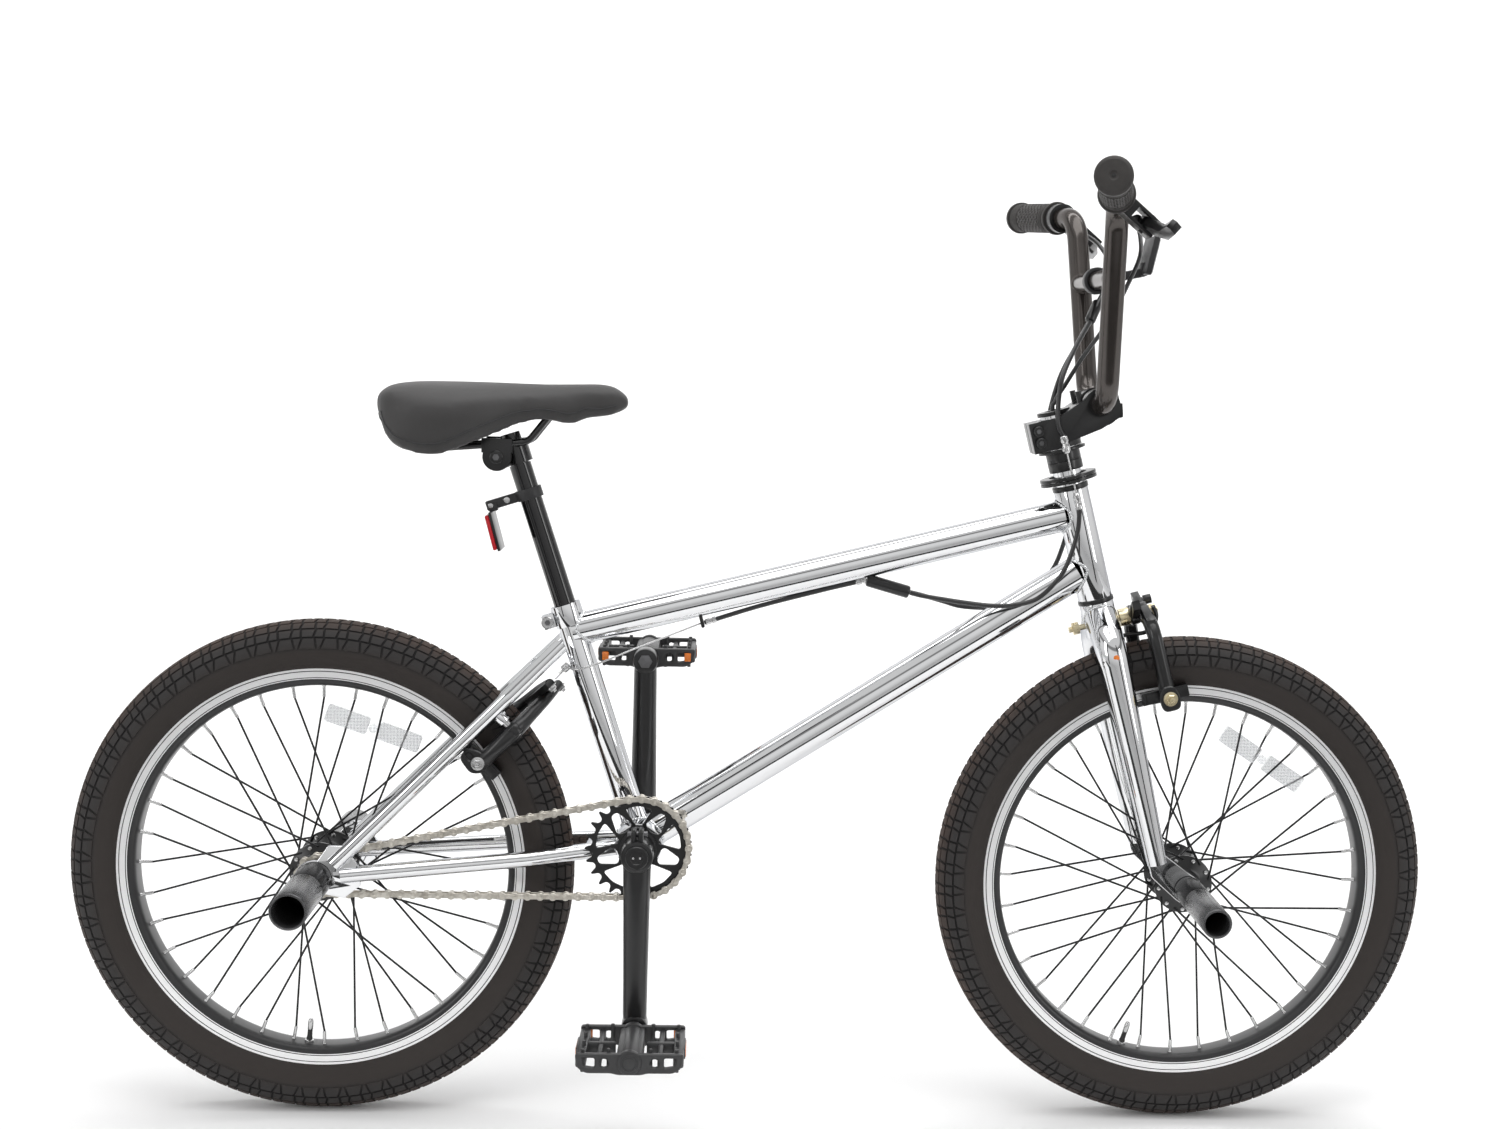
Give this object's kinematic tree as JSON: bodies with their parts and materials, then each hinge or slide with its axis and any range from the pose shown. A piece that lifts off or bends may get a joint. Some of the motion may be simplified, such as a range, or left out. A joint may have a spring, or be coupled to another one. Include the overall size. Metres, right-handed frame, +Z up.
{
  "type": "bmx bike",
  "caption": "Chrome freestyle bicycle with small wheels, tall handlebar, axle pegs, rotating brake-cable detangler, rim brakes, single-speed chain drive and platform pedals.",
  "frame": {"origin": "on the ground, midway between the two axles, in the middle plane", "axes": "+X forward, +Y to the rider's left, +Z up"},
  "size_m": [1.388, 0.6072, 0.9631],
  "materials": {
    "chrome": "mirror chrome",
    "black_metal": "satin",
    "black_plastic": "satin",
    "white_reflector": "gloss",
    "red_reflector": "gloss",
    "peg_metal": "satin",
    "cable_housing": "gloss",
    "chain_plate": "satin",
    "steel": "satin",
    "saddle_cover": "matte grain",
    "bar_paint": "satin",
    "grip_rubber": "matte",
    "brass_plate": "satin",
    "tyre_rubber": "matte",
    "tube_rubber": "matte",
    "rim_alloy": "brushed",
    "spoke_steel": "gloss"
  },
  "bodies": {
    "frame": {"head_tube": "chrome", "top_tube": "chrome", "down_tube": "chrome", "seat_tube": "chrome", "bottom_bracket_shell": "chrome", "chain_stays": "chrome", "seat_stays": "chrome", "rear_dropouts": "chrome", "headset_cups": "black_metal", "bottom_bracket_bearings": "steel", "seat_binder_bolt": "chrome", "rear_axle": "black_metal", "rear_pegs": "peg_metal", "rear_brake_cable": "cable_housing", "chain": "chain_plate"},
    "gyro_lower": {"gyro_lower_plate": "black_metal"},
    "gyro_upper": {"gyro_upper_plate": "black_metal"},
    "post": {"seat_post": "black_metal", "rear_reflector": "red_reflector"},
    "seat": {"saddle": "saddle_cover", "saddle_rails": "black_metal", "saddle_clamp": "black_metal"},
    "fork": {"steerer_tube": "chrome", "fork_legs": "chrome", "stem": "black_metal", "stem_bolts": "black_metal", "handlebar": "bar_paint", "grips": "grip_rubber", "brake_lever_mounts": "black_plastic", "headset_spacers": "black_metal", "gyro_upper_cable": "cable_housing", "front_brake_cable": "cable_housing", "front_reflector": "white_reflector", "front_axle": "black_metal", "front_pegs": "peg_metal", "front_brake_bolt": "brass_plate"},
    "lever_left": {"brake_lever_left": "black_metal"},
    "lever_right": {"brake_lever_right": "black_metal"},
    "front_arm_left": {"front_brake_arm_left": "black_metal"},
    "front_arm_right": {"front_brake_arm_right": "black_metal"},
    "rear_arm_left": {"rear_brake_arm_left": "black_metal"},
    "rear_arm_right": {"rear_brake_arm_right": "black_metal"},
    "front_wheel": {"front_tyre": "tyre_rubber", "front_inner_tube": "tube_rubber", "front_rim": "rim_alloy", "front_spokes": "spoke_steel", "front_hub": "black_metal", "front_wheel_reflector": "white_reflector"},
    "rear_wheel": {"rear_tyre": "tyre_rubber", "rear_inner_tube": "tube_rubber", "rear_rim": "rim_alloy", "rear_spokes": "spoke_steel", "rear_hub": "black_metal", "rear_wheel_reflector": "white_reflector"},
    "cog": {"rear_cog": "steel"},
    "crankset": {"crank_spindle": "black_metal", "crank_arms": "black_metal", "chainring": "black_metal"},
    "pedal_left": {"pedal_left": "black_plastic"},
    "pedal_right": {"pedal_right": "black_plastic"}
  },
  "joints": [
    {"name": "steering", "type": "hinge", "parent": "frame", "child": "fork", "pos_m": [0.3301, 0, 0.5869], "axis": [-0.2588, 0, 0.9659], "continuous": true},
    {"name": "gyro_lower_slide", "type": "slide", "parent": "frame", "child": "gyro_lower", "axis": [-0.2588, 0, 0.9659], "range_m": [0, 0.003]},
    {"name": "gyro_upper_slide", "type": "slide", "parent": "fork", "child": "gyro_upper", "axis": [-0.2588, 0, 0.9659], "range_m": [0, 0.003]},
    {"name": "seat_post_height", "type": "slide", "parent": "frame", "child": "post", "axis": [-0.314, 0, 0.9494], "range_m": [-0.07, 0.04]},
    {"name": "saddle_tilt", "type": "hinge", "parent": "post", "child": "seat", "pos_m": [-0.266, 0, 0.676], "axis": [0, 1, 0], "range_deg": [-10, 10]},
    {"name": "brake_lever_left", "type": "hinge", "parent": "fork", "child": "lever_left", "pos_m": [0.34602, 0.165, 0.91348], "axis": [0.6428, 0, 0.766], "range_deg": [0, 14], "stiffness_Nm_per_rad": 1, "springref_deg": -114.59},
    {"name": "brake_lever_right", "type": "hinge", "parent": "fork", "child": "lever_right", "pos_m": [0.34602, -0.165, 0.91348], "axis": [-0.6428, 0, -0.766], "range_deg": [0, 14], "stiffness_Nm_per_rad": 1, "springref_deg": -114.59},
    {"name": "front_brake_arm_left", "type": "hinge", "parent": "fork", "child": "front_arm_left", "pos_m": [0.34795, 0, 0.52025], "axis": [-0.9659, 0, -0.2588], "range_deg": [0, 1.25]},
    {"name": "front_brake_arm_right", "type": "hinge", "parent": "fork", "child": "front_arm_right", "pos_m": [0.34795, 0, 0.52025], "axis": [0.9659, 0, 0.2588], "range_deg": [0, 1.25]},
    {"name": "rear_brake_arm_left", "type": "hinge", "parent": "frame", "child": "rear_arm_left", "pos_m": [-0.25403, 0.038, 0.41169], "axis": [-0.7071, 0, 0.7071], "range_deg": [0, 1.85]},
    {"name": "rear_brake_arm_right", "type": "hinge", "parent": "frame", "child": "rear_arm_right", "pos_m": [-0.25403, -0.038, 0.41169], "axis": [0.7071, 0, -0.7071], "range_deg": [0, 1.85]},
    {"name": "front_wheel_spin", "type": "hinge", "parent": "fork", "child": "front_wheel", "pos_m": [0.44, 0, 0.254], "axis": [0, 1, 0], "continuous": true},
    {"name": "rear_wheel_spin", "type": "hinge", "parent": "frame", "child": "rear_wheel", "pos_m": [-0.44, 0, 0.254], "axis": [0, 1, 0], "continuous": true},
    {"name": "crank_spin", "type": "hinge", "parent": "frame", "child": "crankset", "pos_m": [-0.11945, 0, 0.2866], "axis": [0, 1, 0], "continuous": true, "deforming": ["chain"]},
    {"name": "rear_cog_spin", "type": "hinge", "parent": "frame", "child": "cog", "pos_m": [-0.44, 0, 0.254], "axis": [0, 1, 0], "continuous": true},
    {"name": "pedal_left_spin", "type": "hinge", "parent": "crankset", "child": "pedal_left", "pos_m": [-0.11945, 0.15, 0.4616], "axis": [0, 1, 0], "continuous": true},
    {"name": "pedal_right_spin", "type": "hinge", "parent": "crankset", "child": "pedal_right", "pos_m": [-0.11945, -0.15, 0.1116], "axis": [0, 1, 0], "continuous": true}
  ],
  "couplings": [
    {"joint": "gyro_upper_slide", "follows": "brake_lever_left", "m_per_rad": 0.012278},
    {"joint": "gyro_lower_slide", "follows": "brake_lever_left", "m_per_rad": 0.012278},
    {"joint": "rear_brake_arm_left", "follows": "brake_lever_left", "ratio": 0.13214},
    {"joint": "rear_brake_arm_right", "follows": "brake_lever_left", "ratio": 0.13214},
    {"joint": "front_brake_arm_left", "follows": "brake_lever_right", "ratio": 0.089286},
    {"joint": "front_brake_arm_right", "follows": "brake_lever_right", "ratio": 0.089286},
    {"joint": "rear_cog_spin", "follows": "crank_spin", "ratio": 2.7778}
  ]
}
